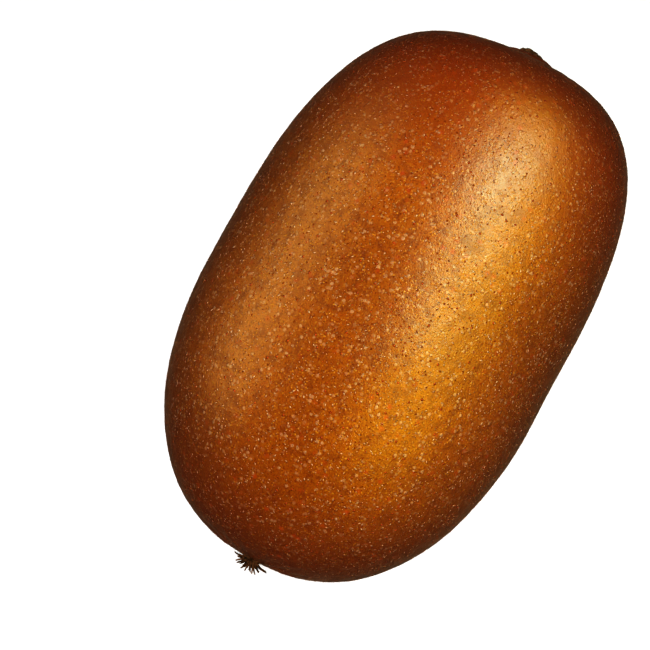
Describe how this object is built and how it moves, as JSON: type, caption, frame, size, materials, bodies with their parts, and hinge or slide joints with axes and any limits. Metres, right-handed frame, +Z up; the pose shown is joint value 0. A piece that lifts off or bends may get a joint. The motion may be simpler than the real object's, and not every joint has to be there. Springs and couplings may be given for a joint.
{
  "type": "golden kiwi fruit",
  "caption": "Whole golden kiwi fruit lying on its side: blunt bronze barrel with a dried calyx at the stem end and withered styles at the blossom end.",
  "frame": {"origin": "on the surface that the fruit lies on, under the middle of its length and width", "axes": "+X along the fruit towards the stem end, +Y across it, +Z up from the surface that it lies on"},
  "size_m": [0.0796, 0.0486, 0.0467],
  "materials": {
    "skin": "thin bronze skin, half glossy, with fine corky specks",
    "dried_calyx": "dry, rough and matt",
    "withered_styles": "dry, brittle and matt"
  },
  "bodies": {
    "root": {"fruit": "skin", "calyx": "dried_calyx", "style_tuft": "withered_styles"}
  },
  "joints": []
}
